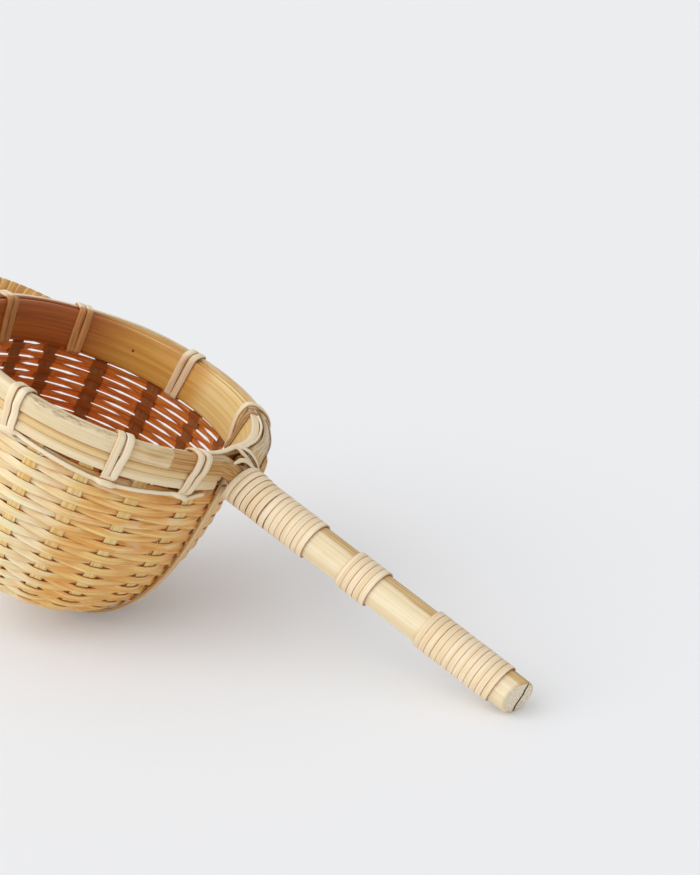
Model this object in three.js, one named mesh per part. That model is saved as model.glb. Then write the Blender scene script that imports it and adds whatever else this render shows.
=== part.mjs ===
// A hand-woven bamboo tea strainer, lying on its bowl and the tip of its handle.
// Millimetres, +Z up. The strainer is built upright, its origin at the middle of the rim's top,
// the handle along +X, and then laid down on the plane z = 0.
import * as THREE from 'three';

// Driving dimensions, in millimetres and degrees
const rimDiameter = 80;
const rimHeight = 8.3;
const bowlDepth = 56.8;
const bowlSquareness = 2.85;
const wallLean = 1.8;
const wallLeanReach = 7;
const handleReach = 82;
const handleDiameter = 8.5;
const handleDip = 4.5;
const handleDrop = 6.1;
const splitOffset = 0.8;
const tipChamfer = 0.7;
const forkStart = 0.8;
const forkAngle = 17;
const earWidth = 33;
const earReach = 13;
const earLevel = 2.5;
const restRoll = -12;
const seatGap = 0.3;

// Where the three wraps of the handle begin and end, from the rim outwards
const wrapBowl = [1.2, 23.3];
const wrapMiddle = [33, 41.6];
const wrapEnd = [55.3, 76.2];

// Strips: ribs and weavers of the bowl, laths of the rim, rattan of the bindings
const ribWidth = 3.5;
const ribBaseWidth = 2.7;
const ribThickness = 0.7;
const baseGridPitch = 4.1;
const weaverWidth = 1.3;
const weaverThickness = 0.55;
const rowPitch = 1.75;
const weaverStrips = 6;
const innerHoopHeight = 10.2;
const innerHoopThickness = 1.3;
const innerHoopLean = 1.7;
const lathThickness = 2.1;
const lathHeight = 4.5;
const lathProud = 0.8;
const lowerHoopThickness = 1.6;
const lowerHoopStep = 0.45;
const lowerHoopStop = 15;
const strapWidth = 2.4;
const strapThickness = 0.8;
const rattanWidth = 1.3;
const rattanThickness = 0.5;
const turnPitch = 1.76;
const earCoreDiameter = 3.2;
const earTurnPitch = 2.15;
const earStripWidth = 1.1;

// Where the ribs stand round the rim, counter-clockwise from the handle side, and which strip of
// the base each pair of ribs belongs to: five strips lie along X, the middle one a half strip,
// and four along Y.
const alongRibs = [[-38, 209], [-14, 185], [4, null], [22, 161], [40, 145.5]];
const acrossRibs = [[124, 234], [100, 258], [77, 282.5], [58, 301.5]];
const lashAngles = [49, 91, 137.5, 173, 196, 240, 272, 309.5, 338];

const rimRadius = rimDiameter / 2;
const lathInner = rimRadius - lathThickness;
const wallRadius = lathInner - seatGap - ribThickness / 2;
const innerHoopOuter = wallRadius - ribThickness / 2 - seatGap;
const lathMiddle = lathProud - lathHeight / 2;
const ribTop = 1.2;
const lashAway = seatGap + rattanThickness / 2;
const strandLevel = rimHeight + lashAway + rattanWidth / 2;
const weaveTop = innerHoopHeight + lashAway + rattanThickness / 2 + seatGap + weaverWidth / 2;
const weaveInnerRadius = 16.5;
const crossingClearance = ribThickness / 2 + weaverThickness / 2 + seatGap;

const straw = 0xdcb878;
const amber = 0xc98f45;
const cream = 0xeee0b8;
const rattan = 0xf0dcb4;
const radians = THREE.MathUtils.degToRad;
const vector = (x, y, z) => new THREE.Vector3(x, y, z);
const polar = (radius, angle, z) => vector(radius * Math.cos(angle), radius * Math.sin(angle), z);

function part(name, geometry, color, roughness = 0.6) {
  const mesh = new THREE.Mesh(geometry, new THREE.MeshStandardMaterial({ color, roughness, metalness: 0 }));
  mesh.name = name;
  return mesh;
}

// A solid lofted through rings of points, each ring counter-clockwise about the run, capped at both ends.
function loft(rings) {
  const sides = rings[0].length;
  const index = [];
  for (let ring = 0; ring < rings.length - 1; ring++) {
    const near = ring * sides;
    const far = near + sides;
    for (let side = 0; side < sides; side++) {
      const next = (side + 1) % sides;
      index.push(near + side, near + next, far + next, near + side, far + next, far + side);
    }
  }
  const last = (rings.length - 1) * sides;
  for (let side = 1; side < sides - 1; side++) {
    index.push(0, side + 1, side, last, last + side, last + side + 1);
  }
  const positions = rings.flat().flatMap((point) => point.toArray());
  const geometry = new THREE.BufferGeometry();
  geometry.setAttribute('position', new THREE.Float32BufferAttribute(positions, 3));
  geometry.setIndex(index);
  geometry.computeVertexNormals();
  return geometry;
}

// The direction of the run at each station, from its neighbours.
function runDirections(stations) {
  return stations.map((station, i) => {
    const before = stations[Math.max(i - 1, 0)].point;
    const after = stations[Math.min(i + 1, stations.length - 1)].point;
    return after.clone().sub(before).normalize();
  });
}

// Rings of a flat strip through stations of a point and the direction that its face looks in.
function stripRings(stations, width, thickness) {
  const directions = runDirections(stations);
  return stations.map((station, i) => {
    const across = directions[i].clone().cross(station.normal).normalize();
    const facing = across.clone().cross(directions[i]).normalize();
    const halfWidth = (station.width ?? width) / 2;
    const corners = [[1, -1], [1, 1], [-1, 1], [-1, -1]];
    return corners.map(([out, side]) => station.point.clone()
      .addScaledVector(facing, out * thickness / 2)
      .addScaledVector(across, side * halfWidth));
  });
}

// The least gap of a winding to itself, measured between the corners of its turns and printed.
function measureGap(name, rings, stepsPerTurn) {
  let least = Infinity;
  const apart = Math.ceil(stepsPerTurn * 0.6);
  for (let first = 0; first < rings.length; first++) {
    for (let second = first + apart; second < rings.length; second++) {
      if (rings[first][0].distanceTo(rings[second][0]) > 4 * turnPitch) continue;
      for (const a of rings[first]) {
        for (const b of rings[second]) least = Math.min(least, a.distanceTo(b));
      }
    }
  }
  console.log(`${name}: least gap to itself ${least.toFixed(2)} mm`);
}

// The bowl's wall in section: a quarter of a superellipse from the rim down to the middle of the base,
// leaning in below the rim.
class BowlProfile extends THREE.Curve {
  constructor() {
    super();
    this.arcLengthDivisions = 400;
  }

  getPoint(t, target = new THREE.Vector3()) {
    const angle = t * Math.PI / 2;
    const power = 2 / bowlSquareness;
    const z = -bowlDepth * Math.sin(angle) ** power;
    const lean = wallLean * (1 - Math.exp(z / wallLeanReach));
    return target.set((wallRadius - lean) * Math.cos(angle) ** power, 0, z);
  }
}
const profile = new BowlProfile();
const profileLength = profile.getLength();

// A point of the wall at a distance along the profile from the rim, with its outward direction.
function wallStation(distance, angle, offset = 0) {
  const share = THREE.MathUtils.clamp(distance / profileLength, 0, 1);
  const tangent = profile.getTangentAt(share);
  const normal = vector(-tangent.z, 0, tangent.x);
  const point = profile.getPointAt(share).addScaledVector(normal, offset);
  const axis = vector(0, 0, 1);
  return { point: point.applyAxisAngle(axis, angle), normal: normal.applyAxisAngle(axis, angle) };
}

// A point of the base under a place in plan, with its outward direction.
function baseStation(x, y, offset = 0) {
  const radius = wallRadius - wallLean;
  const share = Math.hypot(x, y) / radius;
  const rise = 1 - share ** bowlSquareness;
  const slope = share ** (bowlSquareness - 1) * rise ** (1 / bowlSquareness - 1) * bowlDepth / radius;
  const outward = vector(x, y, 0).normalize().multiplyScalar(slope);
  const normal = outward.add(vector(0, 0, -1)).normalize();
  const point = vector(x, y, -bowlDepth * rise ** (1 / bowlSquareness)).addScaledVector(normal, offset);
  return { point, normal };
}

// The distance along the profile at which the wall has a given radius.
function distanceAtRadius(radius) {
  let low = 0;
  let high = profileLength;
  for (let i = 0; i < 40; i++) {
    const middle = (low + high) / 2;
    if (profile.getPointAt(middle / profileLength).x > radius) low = middle;
    else high = middle;
  }
  return low;
}
const weaveEnd = distanceAtRadius(weaveInnerRadius);

function ribWidthAt(distance) {
  return THREE.MathUtils.lerp(ribWidth, ribBaseWidth, THREE.MathUtils.clamp(distance / weaveEnd, 0, 1));
}

// One standing rib, from under the rim down to the edge of the base.
function standingRib(degrees) {
  const steps = 14;
  const stations = [];
  for (let i = 0; i <= steps; i++) {
    const distance = THREE.MathUtils.lerp(ribTop, weaveEnd + rowPitch / 2, i / steps);
    stations.push({ ...wallStation(distance, radians(degrees)), width: ribWidthAt(distance) });
  }
  return stations;
}

// One strip of the base with its ribs, passing over and under the strips that cross it.
function ribStrip(strip, [startAngle, endAngle], crossings, place, sense) {
  const weave = ribThickness / 2 + seatGap / 2;
  const hold = ribBaseWidth / 2 + seatGap / 3;
  const stations = standingRib(startAngle);
  crossings.forEach((crossing, i) => {
    const offset = (strip + i) % 2 ? weave : -weave;
    for (const edge of [-hold, hold]) {
      const station = place(crossing + edge * sense, offset);
      stations.push({ ...station, width: ribBaseWidth });
    }
  });
  if (endAngle !== null) stations.push(...standingRib(endAngle).reverse());
  return loft(stripRings(stations, ribWidth, ribThickness));
}

function gridPlaces(count) {
  return Array.from({ length: count }, (_, i) => (i - (count - 1) / 2) * baseGridPitch);
}

function ribParts() {
  const alongPlaces = gridPlaces(alongRibs.length);
  const acrossPlaces = gridPlaces(acrossRibs.length);
  const parts = [];
  alongRibs.forEach((angles, i) => {
    const place = (x, offset) => baseStation(x, alongPlaces[i], offset);
    const geometry = ribStrip(i, angles, [...acrossPlaces].reverse(), place, -1);
    parts.push(part(`rib_along_${i + 1}`, geometry, straw));
  });
  acrossRibs.forEach((angles, i) => {
    const place = (y, offset) => baseStation(acrossPlaces[i], y, offset);
    const geometry = ribStrip(i, angles, [...alongPlaces].reverse(), place, -1);
    parts.push(part(`rib_across_${i + 1}`, geometry, straw));
  });
  return parts;
}

// Rib angles in order round the rim, in radians from the first.
const ribAngles = [...alongRibs, ...acrossRibs].flat()
  .filter((angle) => angle !== null)
  .map((angle) => radians((angle + 360) % 360))
  .sort((a, b) => a - b);

// How far a weaver swings out of the wall at a rib, so that its straight run to the nearer
// neighbour clears the rib's edges; on the outside the run also cuts the wall's curve.
function weaverSwing(rib, distance, outside) {
  const count = ribAngles.length;
  const angle = ribAngles[rib];
  const turn = 2 * Math.PI;
  const gaps = [ribAngles[(rib + 1) % count] - angle, angle - ribAngles[(rib + count - 1) % count]];
  const radius = profile.getPointAt(distance / profileLength).x;
  const runs = gaps.map((gap) => ((gap + turn) % turn) * radius);
  const edge = ribWidthAt(distance) / 2;
  const shortest = Math.min(...runs);
  const swing = crossingClearance / (1 - 2 * edge / shortest);
  const crowding = 1.75;
  const cut = outside ? edge * (Math.max(...runs) - edge) : -edge * (shortest - edge);
  const crowded = swing > crowding * crossingClearance;
  return { single: swing + cut / (2 * radius), crowded, edge: edge / radius };
}

// The stations of the spiral weave at one rib: one over its middle, or two over its edges
// where the ribs stand close together. A strip starts and ends at a rib's middle.
function weaverCrossing(step, starts, ends) {
  const count = ribAngles.length;
  const rib = step % count;
  const distance = weaveTop + rowPitch * step / count;
  const outside = step % 2 === 0;
  const side = outside ? 1 : -1;
  const { single, crowded, edge } = weaverSwing(rib, distance, outside);
  if (!crowded) return [wallStation(distance, ribAngles[rib], side * single)];
  const shifts = [starts ? 0 : -edge, ends ? 0 : edge];
  return shifts.map((shift) => wallStation(distance, ribAngles[rib] + shift, side * crossingClearance));
}

// Six strips follow one another in one spiral. Each begins and ends behind a rib, on the inside.
function weaverParts() {
  const steps = Math.floor((weaveEnd - weaveTop) / rowPitch * ribAngles.length);
  const bound = (strip) => 2 * Math.floor(strip * steps / weaverStrips / 2) + 1;
  const parts = [];
  for (let strip = 0; strip < weaverStrips; strip++) {
    const first = bound(strip);
    const last = bound(strip + 1);
    const stations = [];
    for (let step = first; step <= last; step++) {
      stations.push(...weaverCrossing(step, step === first, step === last));
    }
    trimEnds(stations, seatGap / 2);
    const rings = stripRings(stations, weaverWidth, weaverThickness);
    measureGap(`weaver_${strip + 1}`, rings, ribAngles.length);
    parts.push(part(`weaver_${strip + 1}`, loft(rings), straw));
  }
  return parts;
}

// Draws both ends of a run in, so that it meets what follows face to face.
function trimEnds(stations, length) {
  for (const [end, neighbour] of [[0, 1], [stations.length - 1, stations.length - 2]]) {
    const inward = stations[neighbour].point.clone().sub(stations[end].point).normalize();
    stations[end] = { ...stations[end], point: stations[end].point.clone().addScaledVector(inward, length) };
  }
}

// A hoop of one section, given as radius and height, clockwise from its upper inner corner, between two angles.
function hoop(section, start, end, steps) {
  const rings = [];
  for (let i = 0; i <= steps; i++) {
    const angle = THREE.MathUtils.lerp(start, end, i / steps);
    rings.push(section.map(([radius, z]) => polar(radius, angle, z)));
  }
  return loft(rings);
}

// A full hoop: the section is turned about the bowl's axis.
function fullHoop(section, segments) {
  const outline = [...section, section[0]].map(([radius, z]) => new THREE.Vector2(radius, z));
  return new THREE.LatheGeometry(outline, segments).rotateX(Math.PI / 2);
}

const innerHoopBottomOuter = innerHoopOuter - innerHoopLean;
const hoopFacets = 48;

function innerHoop() {
  const crown = 0.35;
  const section = [
    [innerHoopOuter - innerHoopThickness, -crown],
    [innerHoopBottomOuter - innerHoopThickness, -innerHoopHeight + crown],
    [innerHoopBottomOuter - innerHoopThickness + crown, -innerHoopHeight],
    [innerHoopBottomOuter, -innerHoopHeight],
    [innerHoopOuter, 0],
    [innerHoopOuter - innerHoopThickness + crown, 0],
  ];
  return part('inner_hoop', fullHoop(section, hoopFacets), amber, 0.45);
}

// The two thin laths under the handle's lath stop short of the handle on both sides.
function lowerHoops() {
  const top = lathProud - lathHeight - seatGap;
  const height = (rimHeight + top - seatGap) / 2;
  const stop = radians(lowerHoopStop);
  return ['outer_hoop_middle', 'outer_hoop_lower'].map((name, i) => {
    const upper = top - i * (height + seatGap);
    const inner = lathInner - lowerHoopStep * (i + 1);
    const outer = inner + lowerHoopThickness;
    const round = 0.4;
    const section = [
      [inner, upper],
      [outer - round, upper],
      [outer, upper - height / 2],
      [outer - round, upper - height],
      [inner, upper - height],
    ];
    return part(name, hoop(section, stop, 2 * Math.PI - stop, hoopFacets), i ? cream : amber);
  });
}

const handleRoot = vector(rimRadius, 0, -handleDrop);
const handleDirection = vector(Math.cos(radians(handleDip)), 0, -Math.sin(radians(handleDip)));
const handleUp = vector(-handleDirection.z, 0, handleDirection.x);
const handleRadius = handleDiameter / 2;
const sectionSteps = 8;

// Half of the handle in section, as distance from the flat face and height: a round cut off the centre.
function handleSection(centre) {
  const sweep = Math.acos(-centre / handleRadius);
  return Array.from({ length: sectionSteps + 1 }, (_, i) => {
    const angle = THREE.MathUtils.lerp(-sweep, sweep, i / sectionSteps);
    return [centre + handleRadius * Math.cos(angle), handleRadius * Math.sin(angle)];
  });
}

// The lath in section where it goes round the rim: a low bar with a rounded outer face.
function lathSection() {
  const boxiness = 0.5;
  return Array.from({ length: sectionSteps + 1 }, (_, i) => {
    const angle = THREE.MathUtils.lerp(-Math.PI / 2, Math.PI / 2, i / sectionSteps);
    const rise = Math.sign(angle) * Math.abs(Math.sin(angle)) ** boxiness;
    return [lathThickness * Math.max(Math.cos(angle), 0) ** boxiness, rise * lathHeight / 2];
  });
}

// One end of the lath, from the tip of the handle to where it lies on the rim. side is -1 or 1 in Y,
// and centre is how far the handle's axis lies inside this half's flat face.
function lathEnd(side, centre) {
  const tipShrink = 1 - tipChamfer / handleRadius;
  const joinAngle = radians(forkAngle);
  const flat = splitOffset + side * seatGap / 2;
  const round = handleSection(centre);
  const bar = lathSection();
  const stations = [];
  const chamfered = round.map(([out, up]) => [out * tipShrink, up * tipShrink]);
  const runs = [[handleReach, chamfered], [handleReach - tipChamfer, round], [forkStart, round]];
  for (const [along, section] of runs) {
    const point = handleRoot.clone().addScaledVector(handleDirection, along);
    point.y = flat;
    stations.push({ point, out: vector(0, side, 0), up: handleUp, section });
  }
  const from = stations.at(-1).point;
  const to = polar(lathInner, side * joinAngle, lathMiddle);
  const arrive = vector(-Math.sin(joinAngle), side * Math.cos(joinAngle), 0);
  const leaveLength = forkStart + lathThickness;
  const arriveLength = 3 * lathThickness;
  const bend = new THREE.CubicBezierCurve3(
    from,
    from.clone().addScaledVector(handleDirection, -leaveLength),
    to.clone().addScaledVector(arrive, -arriveLength),
    to,
  );
  const bendSteps = 9;
  const thinned = 0.75;
  for (let i = 1; i <= bendSteps; i++) {
    const t = i / bendSteps;
    const tangent = bend.getTangent(t).setZ(0).normalize();
    const blend = THREE.MathUtils.smoothstep(t, 0, thinned);
    const section = round.map(([out, up], k) => [
      THREE.MathUtils.lerp(out, bar[k][0], blend),
      THREE.MathUtils.lerp(up, bar[k][1], blend),
    ]);
    const point = bend.getPoint(t);
    const out = vector(tangent.y, -tangent.x, 0).multiplyScalar(side);
    stations.push({ point, out, up: vector(0, 0, 1), section });
  }
  return stations;
}

// One lath: half of the handle, round the rim and back as the other half.
function handleHoop() {
  const near = lathEnd(-1, splitOffset - seatGap / 2);
  const far = lathEnd(1, -splitOffset - seatGap / 2);
  const start = Math.atan2(near.at(-1).point.y, near.at(-1).point.x);
  const sweep = 2 * Math.PI + 2 * start;
  const round = [];
  for (let i = 1; i < hoopFacets; i++) {
    const angle = start - sweep * i / hoopFacets;
    round.push({
      point: polar(lathInner, angle, lathMiddle),
      out: polar(1, angle, 0),
      up: vector(0, 0, 1),
      section: lathSection(),
    });
  }
  const stations = [...near, ...round, ...far.reverse()];
  const rings = stations.map(({ point, out, up, section }) => section.map(([away, rise]) => point.clone()
    .addScaledVector(out, away)
    .addScaledVector(up, rise)));
  return part('handle_hoop', loft(rings), cream, 0.5);
}

// A strip wound round the handle between two places along it.
function handleWrap(name, [from, to]) {
  const steps = 12;
  const radius = (handleRadius + seatGap) / Math.cos(Math.PI / steps) + rattanThickness / 2;
  const turns = Math.round((to - from - rattanWidth) / turnPitch * 2) / 2;
  const stations = [];
  for (let i = 0; i <= turns * steps; i++) {
    const angle = 2 * Math.PI * i / steps;
    const normal = handleUp.clone().multiplyScalar(Math.cos(angle)).add(vector(0, Math.sin(angle), 0));
    const along = from + rattanWidth / 2 + turnPitch * i / steps;
    const point = handleRoot.clone().addScaledVector(handleDirection, along).addScaledVector(normal, radius);
    stations.push({ point, normal });
  }
  const rings = stripRings(stations, rattanWidth, rattanThickness);
  measureGap(name, rings, steps);
  return part(name, loft(rings), rattan);
}

// One turn of a lashing over the rim in section, as radius, height and the direction it faces,
// from the outside below the rim over its top to the inside below it.
function lashTurn() {
  const outer = rimRadius + lashAway;
  const lowerOuter = lathInner - 2 * lowerHoopStep + lowerHoopThickness + lashAway;
  const innerTop = innerHoopOuter - innerHoopThickness - lashAway;
  const innerBottom = innerHoopBottomOuter - innerHoopThickness - lashAway;
  const round = 1.3;
  const ease = 0.2;
  const under = -innerHoopHeight - lashAway;
  return [
    [lowerOuter, 3 * ease - rimHeight, 0.9, -0.4],
    [outer, lathMiddle - 3 * ease, 1, -0.1],
    [outer - ease, lathProud, 0.8, 0.6],
    [outer - round, lathProud + lashAway, 0.2, 1],
    [innerTop + round, lathProud + lashAway - ease, -0.2, 1],
    [innerTop, -ease, -0.9, 0.5],
    [innerBottom, 2 * ease - innerHoopHeight, -1, -0.3],
    [innerBottom + innerHoopThickness - 2 * ease, under, -0.3, -1],
    [innerHoopBottomOuter + 1.5 * ease, under, 0.2, -1],
    [lowerOuter - rattanThickness, -rimHeight - lashAway, 0.5, -0.8],
  ];
}

// One strip lashed twice over the rim at each place and carried on below it to the next.
function rimBinding() {
  const turnAngle = (rattanWidth + 3 * seatGap) / rimRadius;
  const turnStart = -0.95;
  const strandAway = ribThickness / 2 + seatGap + rattanThickness;
  const strandStep = radians(9);
  const lead = radians(6);
  const strand = (angle) => wallStation(strandLevel, angle, strandAway);
  const turn = lashTurn();
  const stations = [];
  lashAngles.map(radians).forEach((lash, i) => {
    if (i > 0) stations.push(strand(lash - lead));
    for (let k = -1; k < 2 * turn.length; k++) {
      const [radius, z, out, up] = turn.at(k % turn.length);
      const angle = lash + turnAngle * (k / turn.length + turnStart);
      stations.push({ point: polar(radius, angle, z), normal: polar(out, angle, up).normalize() });
    }
    if (i === lashAngles.length - 1) return;
    const reach = radians(lashAngles[i + 1]) - lash - 2 * lead;
    const count = Math.max(1, Math.round(reach / strandStep));
    for (let k = 0; k < count; k++) stations.push(strand(lash + lead + reach * k / count));
  });
  const rings = stripRings(stations, rattanWidth, rattanThickness);
  measureGap('rim_binding', rings, turn.length);
  return part('rim_binding', loft(rings), rattan);
}

// The strand that lies on the rim's top across the mouth of the fork and goes over it to the handle.
function jointBinding() {
  const ridge = (innerHoopOuter + lathInner) / 2 - seatGap;
  const level = seatGap + rattanThickness;
  const over = lathProud + seatGap + rattanThickness / 2;
  const halfway = rimRadius - lathThickness / 2;
  const upward = vector(0, 0, 1);
  const outward = vector(0.4, 0.2, 1).normalize();
  const stations = [
    { point: polar(ridge, radians(2 - forkAngle), level), normal: upward },
    { point: polar(ridge, radians(forkAngle / -2), level), normal: upward },
    { point: polar(ridge - seatGap, 0, over), normal: upward },
    { point: polar(lathInner, radians(forkAngle / 4), over), normal: upward },
    { point: polar(halfway + rattanThickness, radians(forkAngle / 3), over - seatGap), normal: outward },
    { point: polar(rimRadius + rattanWidth, radians(forkAngle / 3), -seatGap), normal: outward },
  ];
  return part('joint_binding', loft(stripRings(stations, rattanWidth, rattanThickness)), rattan);
}

// The ear's middle line: a loop out from the rim and back, opposite the handle.
function earCurve() {
  const half = Math.asin(earWidth / 2 / rimRadius);
  const apexShare = 0.75;
  const root = rimRadius + 1.5 * seatGap + earCoreDiameter / 2 * Math.tan(half);
  const start = polar(root, Math.PI - half, -earLevel);
  const end = polar(root, Math.PI + half, -earLevel);
  const pull = vector((-rimRadius - earReach - start.x) / apexShare, 0, 0);
  return new THREE.CubicBezierCurve3(start, start.clone().add(pull), end.clone().add(pull), end);
}

// A place along the ear, with the directions across its run.
function earFrame(curve, share) {
  const tangent = curve.getTangentAt(share);
  const up = vector(0, 0, 1);
  return { point: curve.getPointAt(share), side: tangent.clone().cross(up).normalize(), up };
}

function earParts() {
  const curve = earCurve();
  const facets = 8;
  const coreSteps = 18;
  const coreRings = Array.from({ length: coreSteps + 1 }, (_, i) => {
    const { point, side, up } = earFrame(curve, i / coreSteps);
    return Array.from({ length: facets }, (__, k) => {
      const angle = -2 * Math.PI * k / facets;
      return point.clone()
        .addScaledVector(side, earCoreDiameter / 2 * Math.cos(angle))
        .addScaledVector(up, earCoreDiameter / 2 * Math.sin(angle));
    });
  });
  const steps = 9;
  const margin = 2;
  const length = curve.getLength();
  const turns = Math.floor((length - 2 * margin) / earTurnPitch);
  const radius = (earCoreDiameter / 2 + seatGap) / Math.cos(Math.PI / steps) + rattanThickness / 2;
  const stations = [];
  for (let i = 0; i <= turns * steps; i++) {
    const { point, side, up } = earFrame(curve, (margin + earTurnPitch * i / steps) / length);
    const angle = 2 * Math.PI * i / steps;
    const normal = side.clone().multiplyScalar(Math.cos(angle)).addScaledVector(up, Math.sin(angle));
    stations.push({ point: point.addScaledVector(normal, radius), normal });
  }
  const wrapRings = stripRings(stations, earStripWidth, rattanThickness);
  measureGap('ear_wrap', wrapRings, steps);
  return [part('ear_core', loft(coreRings), straw), part('ear_wrap', loft(wrapRings), rattan)];
}

// The splint under the bowl, from below the handle to below the ear.
function underStrap() {
  const overWeave = 2 * crossingClearance + weaverThickness / 2 + seatGap + strapThickness / 2;
  const overBase = 1.5 * (ribThickness + seatGap) + strapThickness / 2;
  const steps = 16;
  const half = (angle) => Array.from({ length: steps }, (_, i) => {
    const distance = THREE.MathUtils.lerp(weaveTop, profileLength, i / steps);
    const base = THREE.MathUtils.smoothstep(distance, weaveEnd, profileLength - baseGridPitch);
    return wallStation(distance, angle, THREE.MathUtils.lerp(overWeave, overBase, base));
  });
  const stations = [...half(0), wallStation(profileLength, 0, overBase), ...half(Math.PI).reverse()];
  return part('under_strap', loft(stripRings(stations, strapWidth, strapThickness)), cream);
}

const strainer = new THREE.Group();
strainer.add(
  ...ribParts(),
  ...weaverParts(),
  innerHoop(),
  handleHoop(),
  ...lowerHoops(),
  rimBinding(),
  jointBinding(),
  handleWrap('handle_wrap_bowl', wrapBowl),
  handleWrap('handle_wrap_middle', wrapMiddle),
  handleWrap('handle_wrap_end', wrapEnd),
  ...earParts(),
  underStrap(),
);

// The lowest height of the bowl and of the handle's tip, for a lean of the strainer.
function lowest(lean) {
  strainer.rotation.set(radians(restRoll), lean, 0, 'YXZ');
  strainer.updateMatrixWorld(true);
  const heights = { bowl: Infinity, tip: Infinity };
  const point = new THREE.Vector3();
  for (const mesh of strainer.children) {
    const position = mesh.geometry.attributes.position;
    for (let i = 0; i < position.count; i++) {
      point.fromBufferAttribute(position, i);
      const zone = point.x > rimRadius + handleReach / 2 ? 'tip' : 'bowl';
      heights[zone] = Math.min(heights[zone], strainer.localToWorld(point).z);
    }
  }
  return heights;
}

// Leans the strainer until the bowl and the handle's tip are level, and sets it on the plane
// with the middle of its outline at the origin.
function layDown() {
  let least = 0;
  let most = radians(45);
  for (let i = 0; i < 30; i++) {
    const lean = (least + most) / 2;
    const { bowl, tip } = lowest(lean);
    if (tip > bowl) least = lean;
    else most = lean;
  }
  const box = new THREE.Box3().setFromObject(strainer, true);
  const middle = box.getCenter(new THREE.Vector3());
  strainer.position.set(-middle.x, -middle.y, -box.min.z);
}
layDown();

const object = new THREE.Group();
object.add(strainer);
export default object;
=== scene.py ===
import bisect
import math
from math import atan2, copysign, cos, hypot, pi, radians, sin

import bmesh
import bpy
from mathutils import Matrix, Vector, noise


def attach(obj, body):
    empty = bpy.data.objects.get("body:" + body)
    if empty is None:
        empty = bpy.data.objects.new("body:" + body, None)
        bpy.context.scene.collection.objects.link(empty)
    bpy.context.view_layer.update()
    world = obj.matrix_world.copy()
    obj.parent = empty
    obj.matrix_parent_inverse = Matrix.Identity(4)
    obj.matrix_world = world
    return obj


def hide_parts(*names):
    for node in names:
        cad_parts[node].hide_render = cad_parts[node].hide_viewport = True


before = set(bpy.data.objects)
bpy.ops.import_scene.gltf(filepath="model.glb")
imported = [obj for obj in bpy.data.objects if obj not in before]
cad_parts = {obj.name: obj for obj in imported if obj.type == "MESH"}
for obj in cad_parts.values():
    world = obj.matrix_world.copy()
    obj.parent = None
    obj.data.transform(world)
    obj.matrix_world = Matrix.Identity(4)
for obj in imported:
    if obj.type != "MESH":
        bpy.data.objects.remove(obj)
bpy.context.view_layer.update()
print("frame loaded,", len(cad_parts), "solids")

# Everything is laid out upright in millimetres, rim top at z = 0 and handle along +X,
# and then put down in the frame's metres.
rest = {"roll": -12.0, "lean": 21.22161, "place": (-28.9091, 0.2145, 59.0273)}
restPose = (
    Matrix.Scale(0.001, 4)
    @ Matrix.Translation(rest["place"])
    @ Matrix.Rotation(radians(rest["lean"]), 4, "Y")
    @ Matrix.Rotation(radians(rest["roll"]), 4, "X")
)


# Colours and materials


def tint(hexValue):
    channels = [int(hexValue[i : i + 2], 16) / 255 for i in (1, 3, 5)]
    return [c / 12.92 if c <= 0.04045 else ((c + 0.055) / 1.055) ** 2.4 for c in channels] + [1.0]


def addNode(tree, kind, settings=None, inputs=None):
    node = tree.nodes.new(kind)
    for key, value in (settings or {}).items():
        setattr(node, key, value)
    for key, value in (inputs or {}).items():
        if isinstance(value, bpy.types.NodeSocket):
            tree.links.new(value, node.inputs[key])
        else:
            node.inputs[key].default_value = value
    return node


def blankMaterial(name):
    material = bpy.data.materials.new(name)
    material.use_nodes = True
    material.node_tree.nodes.clear()
    return material, material.node_tree


softRange = {"interpolation_type": "SMOOTHSTEP"}


# Lays colours one over another: each covers what is below it as its value goes from low to high
def layColours(tree, colour, layers):
    for value, low, high, most, tone in layers:
        inputs = {"Value": value, "From Min": low, "From Max": high, "To Max": most}
        cover = addNode(tree, "ShaderNodeMapRange", softRange, inputs).outputs[0]
        inputs = {0: cover, 6: colour, 7: tone}
        colour = addNode(tree, "ShaderNodeMix", {"data_type": "RGBA"}, inputs).outputs[2]
    return colour


# what every strip of bamboo and rattan has in common
fibres = {
    "streakWidth": 1.25,  # millimetres, as the next
    "skin": 0.08,  # the skin goes over into the inner wood this far from the strip's middle
    "knotCore": 0.4,  # share of a knot that is fully dark
    "markEdge": 0.22,  # how softly a mark ends
    "bumpHeight": 0.0001,  # metres, as the next
    "glowDepth": 0.0012,
    "glowColour": (1.0, 0.42, 0.14),
    "roughness": (-0.05, 0.1),  # in the hollows of the grain and on its ridges
}
# where a noise begins to show and where it shows fully
shows = {
    "streak": (0.35, 0.66), "fibre": (0.46, 0.74), "worn": (0.54, 0.7), "inner": (0.36, 0.62),
    "edge": (0.36, 0.6), "speck": (0.38, 0.66), "rough": (0.3, 0.7),
}


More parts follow.
